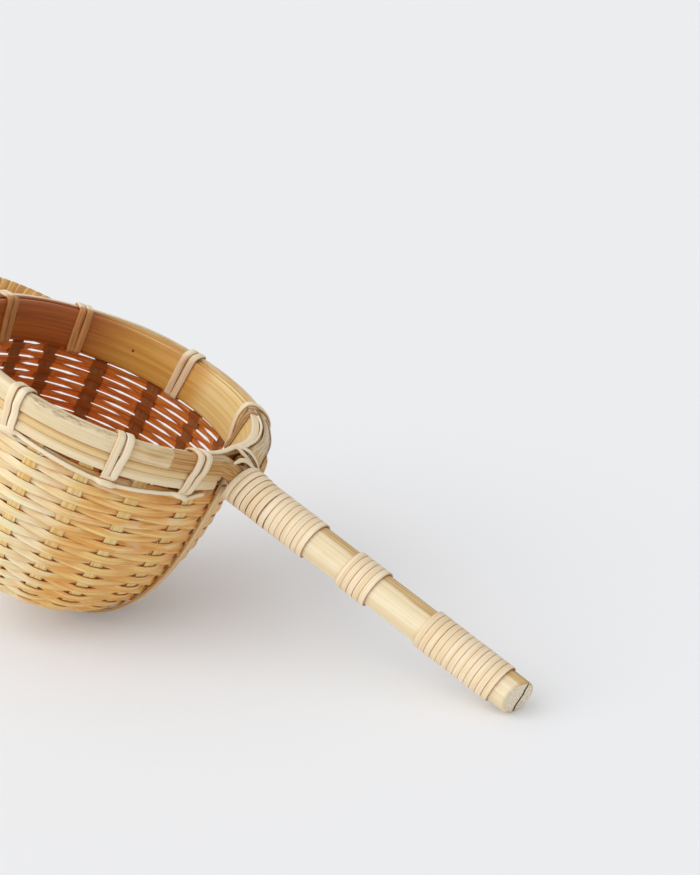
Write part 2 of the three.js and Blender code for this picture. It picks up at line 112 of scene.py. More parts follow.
# Split bamboo and rattan: fibres run with the strip, so the grain is drawn on the strip's own
# length and breadth. Along the edges the strip takes its edge colour: pale where the knife left
# the inner wood bare, and dark brown as painted shade in the crevices between strips. Use leaves
# pale scuffs on the skin. Thin strips let some light through.
def stripMaterial(look):
    material, tree = blankMaterial(look["name"])
    strip = addNode(tree, "ShaderNodeAttribute", {"attribute_name": "strip"}).outputs["Vector"]
    across, depth = addNode(tree, "ShaderNodeSeparateXYZ", None, {0: strip}).outputs[1:3]

    # each noise has a length and a breadth in millimetres, a shift and its detail
    marks = look.get("marks", [])
    sizes = {
        "grain": (look["fibreLength"], look["fibreWidth"], 0.0, 3.0),
        "streak": (look["streakLength"], fibres["streakWidth"], 4.0, 4.0),
        "patch": (2 * look["patchSize"], look["patchSize"] / 2, 11.0, 3.0),
    }
    for layer, light, deep, length, breadth, ragged, most in marks:
        sizes[layer] = (length, breadth, 7.0, 4.0)
    noises = {}
    for name, (length, breadth, shift, detail) in sizes.items():
        inputs = {0: strip, 1: (1 / length, 1 / breadth, 1 / breadth), 2: (shift, shift, shift)}
        place = addNode(tree, "ShaderNodeVectorMath", {"operation": "MULTIPLY_ADD"}, inputs).outputs[0]
        inputs = {"Vector": place, "Scale": 1.0, "Detail": detail, "Roughness": 0.6}
        noises[name] = addNode(tree, "ShaderNodeTexNoise", None, inputs).outputs[0]
    grain, patch = noises["grain"], noises["patch"]

    reach = addNode(tree, "ShaderNodeMath", {"operation": "ABSOLUTE"}, {0: across}).outputs[0]
    low, high = shows["edge"]
    inputs = {"Value": patch, "From Min": low, "From Max": high}
    inputs.update({"To Min": look["edgeDepth"] / 2, "To Max": look["edgeDepth"]})
    strength = addNode(tree, "ShaderNodeMapRange", softRange, inputs).outputs[0]
    layers = [
        (noises["streak"], *shows["streak"], 1.0, tint(look["deep"])),
        (grain, *shows["fibre"], look["grainDepth"], tint(look["line"])),
        (patch, *shows["worn"], look["wornDepth"], tint(look["worn"])),
    ]
    if "inner" in look:  # split strips show their inner wood on the back
        innerLines = (grain, *shows["inner"], 1.0, tint(look["innerDeep"]))
        inner = layColours(tree, tint(look["inner"]), [innerLines])
        layers.append((depth, fibres["skin"], -fibres["skin"], look["innerDepth"], inner))
    # the edge colour; a dark one is painted shade in the crevices between strips
    low, high = look["edgeStart"] * look["width"], look["width"] / 2
    layers.append((reach, low, high, strength, tint(look["edge"])))
    for place, size in look.get("knots", []):
        inputs = {0: strip, 1: place}
        away = addNode(tree, "ShaderNodeVectorMath", {"operation": "DISTANCE"}, inputs).outputs["Value"]
        layers.append((away, size, fibres["knotCore"] * size, 1.0, tint(look["knot"])))
    for layer, light, deep, length, breadth, ragged, most in marks:
        specks = (noises[layer], *shows["speck"], 1.0, tint(deep))
        tone = layColours(tree, tint(light), [specks])
        mask = addNode(tree, "ShaderNodeAttribute", {"attribute_name": layer}).outputs["Fac"]
        inputs = {0: patch, 1: ragged, 2: mask}
        cover = addNode(tree, "ShaderNodeMath", {"operation": "MULTIPLY_ADD"}, inputs).outputs[0]
        low, high = (0.5 + ragged / 2 + sense * fibres["markEdge"] for sense in (-1, 1))
        layers.append((cover, low, high, most, tone))
    colour = layColours(tree, tint(look["light"]), layers)

    low, high = shows["rough"]
    smoother, rougher = (look["roughness"] + change for change in fibres["roughness"])
    inputs = {"Value": grain, "From Min": low, "From Max": high, "To Min": smoother, "To Max": rougher}
    rough = addNode(tree, "ShaderNodeMapRange", softRange, inputs).outputs[0]
    inputs = {"Strength": look["bump"], "Distance": fibres["bumpHeight"], "Height": grain}
    bump = addNode(tree, "ShaderNodeBump", None, inputs).outputs[0]
    inputs = {"Base Color": colour, "Roughness": rough, "IOR": 1.5, "Normal": bump}
    inputs["Subsurface Weight"] = look.get("glow", 0.0)
    inputs["Subsurface Radius"] = fibres["glowColour"]
    inputs["Subsurface Scale"] = fibres["glowDepth"]
    shade = addNode(tree, "ShaderNodeBsdfPrincipled", None, inputs)
    addNode(tree, "ShaderNodeOutputMaterial", None, {"Surface": shade.outputs[0]})
    return material


# Meshes


# A shape keeps its strips' own measure, and a layer for each mark that its material shows
def newShape(marks=()):
    bm = bmesh.new()
    bm.verts.layers.float_vector.new("strip")
    for mark in marks:
        bm.verts.layers.float.new(mark[0])
    return bm


def markLayers(bm, marks):
    return [bm.verts.layers.float[mark[0]] for mark in marks]


def stripStation(point, facing, width, thick):
    return {"point": point, "facing": facing, "width": width, "thick": thick}


# A sheet with one row for each station is rolled round the route: its columns make the ring.
def sweep(bm, stations, section, ringCount=12, start=0.0):
    strip = bm.verts.layers.float_vector["strip"]
    last = len(stations) - 1
    rows, length = [], start
    for i, station in enumerate(stations):
        before, after = stations[max(i - 1, 0)]["point"], stations[min(i + 1, last)]["point"]
        run = station.get("run") or (after - before).normalized()
        sideways = run.cross(station["facing"]).normalized()
        length += (station["point"] - before).length
        rows.append((station, sideways, sideways.cross(run).normalized(), length))
    sheet = bmesh.ops.create_grid(bm, x_segments=last, y_segments=ringCount, size=1.0)["verts"]
    seam = {}
    for vert in sheet:
        row = round((vert.co.x + 1) / 2 * last)
        column = round((vert.co.y + 1) / 2 * ringCount)
        if column in (0, ringCount):
            seam[row, column] = vert
        station, sideways, facing, length = rows[row]
        away, out = section(column % ringCount / ringCount, station)
        vert.co = station["point"] + sideways * away + facing * out
        vert[strip] = (length, away, out)
    bmesh.ops.weld_verts(bm, targetmap={seam[row, ringCount]: seam[row, 0] for row in range(last + 1)})
    tube = [vert for vert in sheet if vert.is_valid]
    ends = list({edge for vert in tube for edge in vert.link_edges if edge.is_boundary})
    bmesh.ops.holes_fill(bm, edges=ends, sides=0)


# A strip's section, by how round it is across, above and below: 1 is round, towards 0 is square
def sectionOf(across, above, below):
    def section(share, station):
        turn = 2 * pi * share
        aside, rise = cos(turn), sin(turn)
        away = copysign(abs(aside) ** across, aside)
        out = copysign(abs(rise) ** (above if rise > 0 else below), rise)
        return away * station["width"] / 2, out * station["thick"] / 2

    return section


stripSection = sectionOf(0.42, 0.55, 0.55)  # flat, with its corners worn round
caneSection = sectionOf(0.42, 0.7, 0.35)  # flat below and gently crowned above
wrapSection = sectionOf(0.3, 0.38, 0.38)  # pressed flat in a tight wrap
bandSection = sectionOf(0.3, 0.5, 0.5)  # planed, with its edges rounded off
rodSection = sectionOf(1, 1, 1)


def blend(points, weights):
    return sum((point * weight for point, weight in zip(points, weights)), Vector())


# how much each of a bend's four points counts at t
def bendWeights(t):
    return (1 - t) ** 3, 3 * t * (1 - t) ** 2, 3 * t**2 * (1 - t), t**3


# A smooth route through a few stations
def smoothRoute(stations, steps):
    route = []
    for i in range(len(stations) - 1):
        near = [stations[min(max(i + k, 0), len(stations) - 1)] for k in (-1, 0, 1, 2)]
        this, following = near[1:3]
        for step in range(steps):
            t = step / steps
            weights = (
                -0.5 * t + t**2 - 0.5 * t**3,
                1 - 2.5 * t**2 + 1.5 * t**3,
                0.5 * t + 2 * t**2 - 1.5 * t**3,
                -0.5 * t**2 + 0.5 * t**3,
            )
            point = blend([station["point"] for station in near], weights)
            facing = this["facing"].lerp(following["facing"], t).normalized()
            width, thick = (this[key] + (following[key] - this[key]) * t for key in ("width", "thick"))
            route.append(stripStation(point, facing, width, thick))
    route.append(stations[-1])
    return route


def addObject(name, data):
    added = bpy.data.objects.new(name, data)
    bpy.context.scene.collection.objects.link(added)
    return added


def finishPiece(bm, name, material, slot, node, sharpAngle=50):
    bmesh.ops.recalc_face_normals(bm, faces=bm.faces)
    for face in bm.faces:
        face.smooth = True
    for edge in bm.edges:
        if edge.is_manifold and edge.calc_face_angle() > radians(sharpAngle):
            edge.smooth = False
    bmesh.ops.transform(bm, matrix=restPose, verts=bm.verts)
    mesh = bpy.data.meshes.new(name)
    bm.to_mesh(mesh)
    bm.free()
    mesh.materials.append(material)
    piece = addObject(name, mesh)
    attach(piece, "root")
    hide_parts(node)
    print(name, len(mesh.polygons), "faces")


# A piece that is a single strip
def finishStrip(route, section, ringCount, start, *names):
    bm = newShape()
    sweep(bm, route, section, ringCount, start)
    finishPiece(bm, *names)


def polar(radius, angle, z):
    return Vector((radius * cos(angle), radius * sin(angle), z))


# a place by its radius and its degrees round the rim, and those of a point
def onRim(radius, degrees, z):
    return polar(radius, radians(degrees), z)


def rimPlace(point):
    return hypot(point.x, point.y), math.degrees(atan2(point.y, point.x))


def clamp(value, low=0.0, high=1.0):
    return max(low, min(high, value))


def smoothStep(value, low, high):
    t = clamp((value - low) / (high - low))
    return t * t * (3 - 2 * t)


# 1 from full to fade, and 0 before start and after end
def window(value, start, full, fade, end):
    return smoothStep(value, start, full) * (1 - smoothStep(value, fade, end))


def stray(x, y=0.0, z=0.0):
    return noise.noise(Vector((x, y, z)))


# The bowl's wall in section, from the rim down to the middle of the base
bowl = {
    "radius": 37.25,
    "depth": 56.8,
    "squareness": 2.85,
    "lean": 1.8,
    "leanReach": 7.0,
    "steps": 1200,
    "slopeSpan": 0.3,  # the wall's slope is taken over this far to each side
}
wallTable = []
for i in range(bowl["steps"] + 1):
    angle = i / bowl["steps"] * pi / 2
    z = -bowl["depth"] * sin(angle) ** (2 / bowl["squareness"])
    lean = bowl["lean"] * (1 - math.exp(z / bowl["leanReach"]))
    radius = (bowl["radius"] - lean) * max(cos(angle), 0) ** (2 / bowl["squareness"])
    length, lastRadius, lastZ = wallTable[-1] if wallTable else (0, radius, z)
    wallTable.append((length + hypot(radius - lastRadius, z - lastZ), radius, z))
wallLength = wallTable[-1][0]


# radius and height of the wall, by the distance down it from the rim
def wallAt(distance):
    i = clamp(bisect.bisect_right(wallTable, distance, key=lambda row: row[0]), 1, bowl["steps"])
    upper, lower = wallTable[i - 1], wallTable[i]
    t = clamp((distance - upper[0]) / (lower[0] - upper[0]))
    return [upper[k] + (lower[k] - upper[k]) * t for k in (1, 2)]


def wallStation(distance, angle, offset):
    places = (distance + k * bowl["slopeSpan"] for k in (-1, 0, 1))
    before, (radius, z), after = (wallAt(clamp(place, 0, wallLength)) for place in places)
    down = Vector((after[0] - before[0], 0, after[1] - before[1])).normalized()
    normal = Vector((-down.z, 0, down.x))
    spin = Matrix.Rotation(angle, 3, "Z")
    point = spin @ (Vector((radius, 0, z)) + normal * offset)
    return point, spin @ normal, spin @ -down


# Ribs: nine laths that cross on the base, and eight of them go up the wall again
ribs = {
    "width": 3.5,
    "foot": 2.7,
    "base": 3.3,
    "thick": 0.6,
    "top": 1.2,  # below the rim
    "steps": 14,
    "pitch": 4.1,
    "lift": 0.42,  # over or under the other laths, where they cross on the base
    "flat": 1.2,  # to each side of a crossing
    "stray": 0.05,
    "along": [(-38, 209), (-14, 185), (4, None), (22, 161), (40, 145.5)],  # both ends, in degrees
    "across": [(124, 234), (100, 258), (77, 282.5), (58, 301.5)],
}
weave = {
    "top": 9.6,
    "row": 1.85,
    "footRadius": 12.0,
    "width": 1.9,
    "thick": 0.45,
    "swing": 0.6,
    "tilt": (9.0, 38.0),  # upper edge drawn in, at a rib and between two ribs
    "flat": 0.3,  # of a cell at most
    "swell": 0.06,  # broader over a rib
    "wander": 0.12,
    "tiltStray": 4.0,  # degrees
    "widthStray": 0.07,
    "strips": 6,
    "steps": 10,
    "paintedSheen": (190, 235, 288, 326),  # the side painted paler as a sheen towards the light, in degrees, and how far it is paled
    "paintedSheenMost": 0.64,
    "paintedRibShade": (1.3, 2.4),  # painted shade: dark within the first of a rib's middle, and clean past the second
}
weaveFoot = next(length for length, radius, z in wallTable if radius <= weave["footRadius"])

# Split bamboo, scraped flat: fine upright lines and a soft sheen on the skin
ribLook = dict(
    name="splitBambooRib", light="#FADB96", deep="#EABC6A", line="#B8803A", worn="#F8E8BC",
    # the dark red-brown inner colours are painted shade, for the ribs' inner faces in the shade inside
    # the bowl
    inner="#A6581C", innerDeep="#86400F", edge="#A8641E", glow=0.3, width=ribs["width"],
    edgeStart=0.46, edgeDepth=0.55, fibreLength=14.0, fibreWidth=0.32, streakLength=20.0,
    patchSize=5.0, grainDepth=0.6, wornDepth=0.3, innerDepth=0.9, bump=0.5, roughness=0.45,
)
# Split bamboo, thin and supple: golden skin outside, orange inner wood, pale scuffs; the inner orange is
# deepened partly as painted shade and painted bounced light for the inside of the bowl
weaverLook = dict(
    name="splitBambooWeaver", light="#FBD48A", deep="#E8AA54", line="#C87C2A", worn="#FBECCC",
    inner="#F2A850", innerDeep="#CA6E24", edge="#B8661A", glow=0.5, width=weave["width"],
    edgeStart=0.43, edgeDepth=0.6, fibreLength=16.0, fibreWidth=0.28, streakLength=24.0,
    patchSize=5.0, grainDepth=0.5, wornDepth=0.45, innerDepth=0.95, bump=0.4, roughness=0.36,
)
# A mark is a layer, two colours, the length and breadth of its specks in millimetres, how ragged
# its edge is and how strong it gets. Inside, painted shade darkens the strips where they lie on a
# rib, and outside, a painted sheen pales the side of the bowl that faces the light.
weaverLook["marks"] = [
    ("paintedRibShade", "#A0521A", "#7C3A10", 10.0, 0.4, 0.3, 0.8),
    ("paintedSheen", "#FDF0D4", "#F4DDAA", 10.0, 0.4, 0.8, 0.75),
]


def ribWidthAt(distance):
    return ribs["width"] + (ribs["foot"] - ribs["width"]) * clamp(distance / weaveFoot)


def standingRib(degrees):
    stations = []
    end = weaveFoot + weave["row"] / 2
    for i in range(ribs["steps"] + 1):
        distance = ribs["top"] + (end - ribs["top"]) * i / ribs["steps"]
        point, normal = wallStation(distance, radians(degrees), 0)[:2]
        width = ribWidthAt(distance) * (1 + ribs["stray"] * stray(degrees, distance * 0.1))
        stations.append(stripStation(point, normal, width, ribs["thick"]))
    return stations


def basePoint(x, y, offset):
    radius = bowl["radius"] - bowl["lean"]
    rise = 1 - (hypot(x, y) / radius) ** bowl["squareness"]
    return Vector((x, y, -bowl["depth"] * rise ** (1 / bowl["squareness"]) - offset))


def basePlaces(family):
    count = len(ribs[family])
    return [(i - (count - 1) / 2) * ribs["pitch"] for i in range(count)]


# Down the wall, over and under the other laths on the base, and up again
def ribStrip(family, index):
    first, second = ribs[family][index]
    own, other = basePlaces(family)[index], "across" if family == "along" else "along"
    stations = standingRib(first)
    for i, crossing in enumerate(basePlaces(other)[::-1]):
        lift = ribs["lift"] if (index + i) % 2 else -ribs["lift"]
        for edge in (ribs["flat"], 0.0, -ribs["flat"]):
            place = (crossing + edge, own) if family == "along" else (own, crossing + edge)
            point = basePoint(*place, lift)
            stations.append(stripStation(point, Vector((0, 0, -1)), ribs["base"], ribs["thick"]))
    if second is not None:
        stations += standingRib(second)[::-1]
    return smoothRoute(stations, 4)


ribFinish = stripMaterial(ribLook)
for family in ("along", "across"):
    for i in range(len(ribs[family])):
        names = f"rib{family.title()}{i + 1}", ribFinish, "rib", f"rib_{family}_{i + 1}"
        finishStrip(ribStrip(family, i), stripSection, 12, 90.0 * i, *names)

# Weavers: one spiral, over one rib and under the next, in six strips. Each strip lies like a
# shingle, its upper edge drawn in, so the wall looks closed from outside and lets light in.
ribAngles = sorted(
    radians(angle % 360)
    for pair in ribs["along"] + ribs["across"]
    for angle in pair
    if angle is not None
)


def weaveAngle(step):
    low = math.floor(step)
    turns = (divmod(rib, len(ribAngles)) for rib in (low, low + 1))
    first, second = (ribAngles[rib] + 2 * pi * turn for turn, rib in turns)
    return first + (second - first) * (step - low), second - first


# Flat over the rib's breadth, then straight across to the other side of the next rib
def weaverStation(step):
    angle, cell = weaveAngle(step)
    row = step / len(ribAngles)
    distance = weave["top"] + weave["row"] * row
    nearest = round(step)
    flat = min(weave["flat"], ribWidthAt(distance) / 2 / max(cell * wallAt(distance)[0], 1))
    between = clamp((abs(step - nearest) - flat) / (0.5 - flat))
    sense = -1 if nearest % 2 else 1
    wander = weave["wander"] * stray(cos(angle) * 2.1, sin(angle) * 2.1, row * 1.7)
    point, normal, up = wallStation(distance + wander, angle, sense * weave["swing"] * (1 - between))
    low, high = weave["tilt"]
    tiltStray = weave["tiltStray"] * stray(step * 0.31, 9.0, row)
    tilt = radians(low + (high - low) * between + tiltStray)
    widthStray = weave["widthStray"] * stray(step * 0.23, 3.0, row)
    width = weave["width"] * (1 + weave["swell"] * (1 - between) + widthStray)
    return stripStation(point, normal * cos(tilt) + up * sin(tilt), width, weave["thick"])


# painted shade on the inner face near each rib, and a painted sheen on the outer face of the lit side
def markWeaver(bm):
    strip = bm.verts.layers.float_vector["strip"]
    paintedRibShade, paintedSheen = markLayers(bm, weaverLook["marks"])
    for vert in bm.verts:
        radius, degrees = rimPlace(vert.co)
        if vert[strip].z < 0.1:
            angle = atan2(vert.co.y, vert.co.x)
            apart = min(abs(math.remainder(angle - rib, 2 * pi)) for rib in ribAngles)
            vert[paintedRibShade] = 1 - smoothStep(apart * radius, *weave["paintedRibShade"])
        else:
            vert[paintedSheen] = weave["paintedSheenMost"] * window(degrees % 360, *weave["paintedSheen"])


weaverFinish = stripMaterial(weaverLook)
weaveSteps = math.floor((weaveFoot - weave["top"]) / weave["row"] * len(ribAngles))
for strip in range(weave["strips"]):
    first, last = (2 * (k * weaveSteps // weave["strips"] // 2) + 1 for k in (strip, strip + 1))
    count = (last - first) * weave["steps"]
    route = [weaverStation(first + i / weave["steps"]) for i in range(count + 1)]
    bm = newShape(weaverLook["marks"])
    sweep(bm, route, stripSection, 10, start=500.0 * strip)
    markWeaver(bm)
    finishPiece(bm, f"weaver{strip + 1}", weaverFinish, "weaver", f"weaver_{strip + 1}")

# Rim: a wide smooth band inside, the handle's lath and two thin laths outside
rim = {
    "radius": 40.0,
    "lathInner": 37.9,
    "lathThick": 2.1,
    "lathHeight": 4.5,
    "lathTop": 0.8,
    "lathDrop": 0.95,  # the lath lies lower on the ear's side
    "lathDropSpan": (105, 150, 215, 255),  # degrees, as are the next two
    # where the band's inner face carries painted shade, on the ear's side
    "bandShadeSpan": (72, 176, 200, 260),
    "bandLitSpan": (60, 100),  # painted light, to each side of the handle
    "bandOuter": 36.6,
    "bandThick": 1.3,
    "bandHeight": 10.2,
    "bandLean": 1.7,
    "bandJoint": 196.0,  # the band's two ends meet under a lashing, this far apart
    "bandGap": 0.2,
}
# Bamboo planed thin and bent: long smooth streaks, amber, with a pale sawn edge
bandLook = dict(
    name="planedBambooBand", light="#DEA84E", deep="#CC8E34", line="#A86E26", worn="#E6C07A",
    edge="#EBD6A4", width=rim["bandHeight"], edgeStart=0.47, edgeDepth=0.7, fibreLength=60.0,
    fibreWidth=0.4, streakLength=60.0, patchSize=16.0, grainDepth=0.3, wornDepth=0.2, bump=0.25,
    roughness=0.36,
)
# painted light pales the band near the handle, and painted shade darkens its inner face on the ear's
# side and its outside below the top
bandMarks = [
    ("paintedLight", "#F0D698", "#E2BC72", 60.0, 0.8, 0.3, 0.85),
    ("paintedShade", "#B2560C", "#8E3A04", 60.0, 0.8, 0.3, 0.9),
]
bandKnots = [((170.2, -0.16, -0.65), 0.5)]  # one dark speck, by length, breadth and depth


def hoopRoute(radius, z, start, end, steps, width, thick, lean=0.0):
    route = []
    for i in range(steps + 1):
        angle = start + (end - start) * i / steps
        facing = polar(cos(lean), angle, -sin(lean))
        route.append(stripStation(polar(radius, angle, z), facing, width, thick))
    return route


width, thick = rim["bandHeight"], rim["bandThick"]
bandSlope = atan2(rim["bandLean"], width)
bandMiddle = rim["bandOuter"] - rim["bandLean"] / 2 - thick / 2
bandStart = radians(rim["bandJoint"])
bandEnd = bandStart + 2 * pi - rim["bandGap"] / rim["radius"]
bandLevel = -width / 2
bm = newShape(bandMarks)
route = hoopRoute(bandMiddle, bandLevel, bandStart, bandEnd, 180, width, thick, bandSlope)
sweep(bm, route, bandSection, 24)
# a wedge fills the hollow between the band and the laths beside the fork, and a thin splint lies
# on the rib ends, between the band and the lath, and leaves the fork open
fillers = [
    {"radius": 37.0, "level": -5.2, "width": 8.4, "thick": 0.8, "from": 6, "to": 19, "steps": 14},
    {"radius": 37.22, "level": -0.45, "width": 1.2, "thick": 1.15, "from": 7, "to": 346, "steps": 140},
]
for filler, grainStart in zip(fillers, (200, 300)):
    radius, level, width, thick = (filler[key] for key in ("radius", "level", "width", "thick"))
    start, end = radians(filler["from"]), radians(filler["to"])
    route = hoopRoute(radius, level, start, end, filler["steps"], width, thick)
    sweep(bm, route, stripSection, 10, start=grainStart)
paintedLight, paintedShade = markLayers(bm, bandMarks)
# painted light near the handle; painted shade on the inner face towards the ear, and over the whole
# outer side below z = -1, the wedge by the fork included, to darken the fork's hole
for vert in bm.verts:
    radius, degrees = rimPlace(vert.co)
    middle = bandMiddle + (vert.co.z - bandLevel) * rim["bandLean"] / rim["bandHeight"]
    outside = radius > middle + 0.3 * rim["bandThick"]
    side = window(degrees % 360, *rim["bandShadeSpan"])
    vert[paintedShade] = 1.0 if outside and vert.co.z < -1 else side
    vert[paintedLight] = 1 - smoothStep(abs(degrees), *rim["bandLitSpan"])
bandFinish = stripMaterial(dict(bandLook, marks=bandMarks, knots=bandKnots, knot="#5A2C0C"))
finishPiece(bm, "innerBand", bandFinish, "inner_hoop", "inner_hoop")

lowerHoops = [
    {"name": "outerHoopMiddle", "node": "outer_hoop_middle", "top": -3.78, "height": 2.0, "inner": 37.5},
    {"name": "outerHoopLower", "node": "outer_hoop_lower", "top": -5.8, "height": 2.6, "inner": 37.05},
]
# Bamboo laths, split and planed: the upper one keeps its golden skin, the lower one is pale wood
hoopLooks = [
    dict(
        name="goldenBambooLath", light="#EED29A", deep="#DDB678", line="#B98A4C", worn="#F1E2B8",
        edge="#9A6228",
    ),
    dict(
        name="paleBambooLath", light="#F4E3C0", deep="#E6CD9C", line="#CDA468", worn="#F8EFDB",
        edge="#A8723A",
    ),
]
hoopThick, hoopStop = 1.6, radians(9)
for hoop, colours in zip(lowerHoops, hoopLooks):
    height = hoop["height"]
    middle, level = hoop["inner"] + hoopThick / 2, hoop["top"] - height / 2
    route = hoopRoute(middle, level, hoopStop, 2 * pi - hoopStop, 170, height, hoopThick)
    look = dict(bandLook, fibreWidth=0.25, edgeStart=0.46, width=height, **colours)
    names = hoop["name"], stripMaterial(look), "outer_hoop", hoop["node"]
    finishStrip(route, stripSection, 12, 0.0, *names)

# Handle: one lath goes round the rim and its two thick ends lie together as the handle
handle = {
    "radius": 4.25,
    "reach": 82.0,
    "dip": 4.5,
    "drop": 6.1,
    "split": 0.8,
    "splitWave": 0.3,  # the split faces are not quite flat
    "gap": (0.12, 0.5),  # at the bowl and at the tip
    "round": 0.5,
    "clear": 8.0,  # the handle lies within this of the middle
    "sawTilt": 20.0,  # the end was sawn aslant, facing the near side
    "sawBack": 0.9,
    "sawLean": (0.95, 0.1),  # how much of the tilt goes sideways and down
    "sawRun": (6.0, 0.6),  # the slant begins and is full this far from the tip
    "steps": 44,
    "forkStart": 0.8,
    "forkAngle": 17.0,
    "armSteps": 24,
    "armFull": 0.45,  # how far along the bend the section is all arm
    "armBreadth": {-1: 3.0, 1: 5.0},  # near and far, half way between handle and rim
    "armRise": {-1: 0.92, 1: 0.66},  # how far along the bend it reaches the rim's height
    "armHeight": 4.9,
    "armAtRim": 0.25,  # how much of the arm's bar is left where it meets the rim
    "armEnds": ((336, 343), (17, 34)),  # degrees over which the near and the far arm thin down
    "barPower": 0.45,
    "skinEdge": (43.2, -0.2, 0.0024),  # radius of the far arm's skin, by the angle in degrees
    "arcCorners": 33,
    "flatCorners": 9,
}
dip = radians(handle["dip"])
handleRoot = Vector((rim["radius"], 0, -handle["drop"]))
handleRun = Vector((cos(dip), 0, -sin(dip)))
handleUp = Vector((sin(dip), 0, cos(dip)))
lathCount = handle["arcCorners"] + handle["flatCorners"]
# Peeled bamboo: ivory skin with a dull shine, golden where the peel was left thin, grey and
# fibrous where the knife took the skin off, speckled on the sawn end
lathLook = dict(
    bandLook, name="peeledBambooLath", light="#EFE0C0", deep="#E4CFA4", line="#D2B482",
    worn="#DEC490", edge="#C9A868", width=40.0, fibreLength=40.0, fibreWidth=0.4, streakLength=70.0,
    patchSize=4.0, grainDepth=0.34, wornDepth=0.35, bump=0.3, roughness=0.38,
)
lathLook["marks"] = [
    ("golden", "#DFBC80", "#BC8E48", 24.0, 0.4, 0.6, 0.9),
    ("skinned", "#CFA05A", "#9C6428", 30.0, 0.35, 0.3, 0.95),
    ("shaved", "#D6BE94", "#9A784C", 7.0, 0.26, 0.6, 0.92),
    ("scuffed", "#DCC798", "#8C6838", 1.8, 0.55, 0.9, 0.85),
    ("sawn", "#FAF0DC", "#DAC8A6", 0.4, 0.4, 0.2, 1.0),
    # painted shade in dark brown, for the split between the handle's halves, the near arm and the gap at
    # the far arm's skin edge
    ("paintedLathShade", "#6A4628", "#452A14", 8.0, 0.5, 0.1, 1.0),
]
# degrees round the rim where a mark begins, is full, fades and ends; the near side is below 0
lathSpans = {
    "scuffed": (-94, -86, -56, -50),
    "scraped": (-50, -48, -34, -33),
    "skin": (-34, -33, -22, -21),
    "nearArm": (-22, -20, -3, 0),
    "farArm": (0, 3, 44, 50),
    "pale": (-140, -110, -56, -48),
}


def lathStation(point, facing, run, centre, parts, side, scale=1.0):
    station = {"point": point, "facing": facing, "run": run, "centre": centre}
    return dict(station, parts=parts, side=side, scale=scale)


# where a corner lies along the round side, from -1 to 1, or else along the flat side
def cornerPlace(corner):
    if corner < handle["arcCorners"]:
        return 2 * corner / (handle["arcCorners"] - 1) - 1, None
    return None, 1 - 2 * ((corner - handle["arcCorners"] + 1) / (handle["flatCorners"] + 1))


def roundHalf(corner, centre):
    sweepAngle = math.acos(-centre / handle["radius"])
    onArc, onFlat = cornerPlace(corner)
    if onArc is None:
        return 0.0, handle["radius"] * sin(sweepAngle) * onFlat
    angle = sweepAngle * onArc
    return centre + handle["radius"] * cos(angle), handle["radius"] * sin(angle)


def bar(corner, thick, height):
    onArc, onFlat = cornerPlace(corner)
    if onArc is None:
        return 0.0, height / 2 * onFlat
    angle = pi / 2 * onArc
    rise = copysign(abs(sin(angle)) ** handle["barPower"], angle)
    return thick * max(cos(angle), 0) ** handle["barPower"], rise * height / 2


# Half-round in the handle, a thick bar in the fork's arm and a thin one round the rim
def lathSection(share, station):
    corner = round(share * lathCount)
    shapes = (
        roundHalf(corner, station["centre"]),
        bar(corner, handle["armBreadth"][station["side"]], handle["armHeight"]),
        bar(corner, rim["lathThick"], rim["lathHeight"]),
    )
    out = sum(shape[0] * part for shape, part in zip(shapes, station["parts"])) * station["scale"]
    up = sum(shape[1] * part for shape, part in zip(shapes, station["parts"])) * station["scale"]
    if handle["arcCorners"] < corner < lathCount - 1:
        wave = handle["splitWave"] * stray(up * 0.6, station["point"].x * 0.02, 5.0)
        out += station["side"] * wave * station["parts"][0]
    return up, out


def lathEnd(side):
    stations = []
    places = []
    for t in (0.0, 0.25, 0.5, 0.75, 1.0):
        bend = t * pi / 2
        shrink = handle["round"] * (1 - sin(bend)) / handle["radius"]
        places.append((handle["reach"] - handle["round"] * (1 - cos(bend)), 1 - shrink))
    tail = handle["reach"] - handle["round"] - 0.5
    steps = handle["steps"]
    places += [(tail + (handle["forkStart"] - tail) * i / steps, 1.0) for i in range(steps + 1)]
    for along, scale in places:
        gap = handle["gap"][0] + (handle["gap"][1] - handle["gap"][0]) * along / handle["reach"]
        point = handleRoot + handleRun * along
        point.y = handle["split"] + side * gap / 2
        centre = -side * handle["split"] - gap / 2
        facing = Vector((0, side, 0))
        stations.append(lathStation(point, facing, -handleRun, centre, (1, 0, 0), side, scale))
    # each arm leaves the handle in a bend and rises to the rim
    start, centre = stations[-1]["point"], stations[-1]["centre"]
    join = radians(handle["forkAngle"])
    end = polar(rim["lathInner"], side * join, rim["lathTop"] - rim["lathHeight"] / 2)
    arrive = Vector((-sin(join), side * cos(join), 0))
    leaveLength, arriveLength = handle["forkStart"] + rim["lathThick"], 3 * rim["lathThick"]
    controls = [start, start - handleRun * leaveLength, end - arrive * arriveLength, end]
    for i in range(1, handle["armSteps"] + 1):
        t = i / handle["armSteps"]
        left = 1 - t
        slopes = (-3 * left**2, 3 * left**2 - 6 * t * left, 6 * t * left - 3 * t**2, 3 * t**2)
        point = blend(controls, bendWeights(t))
        point.z = start.z + (end.z - start.z) * smoothStep(t, 0, handle["armRise"][side])
        run = blend(controls, slopes)
        run.z = 0
        run.normalize()
        handlePart = 1 - smoothStep(t, 0, handle["armFull"])
        rimPart = (1 - handle["armAtRim"]) * smoothStep(t, handle["armFull"], 1.0)
        parts = (handlePart, 1 - handlePart - rimPart, rimPart)
        facing = Vector((run.y, -run.x, 0)) * side
        stations.append(lathStation(point, facing, run, centre, parts, side))
    return stations


# the lath thins down over the first of the rim, sooner on the near side
def thickening(degrees):
    near, far = handle["armEnds"]
    return handle["armAtRim"] * max(smoothStep(degrees, *near), 1 - smoothStep(degrees, *far))


def lathDrop(degrees):
    return rim["lathDrop"] * window(degrees, *rim["lathDropSpan"])


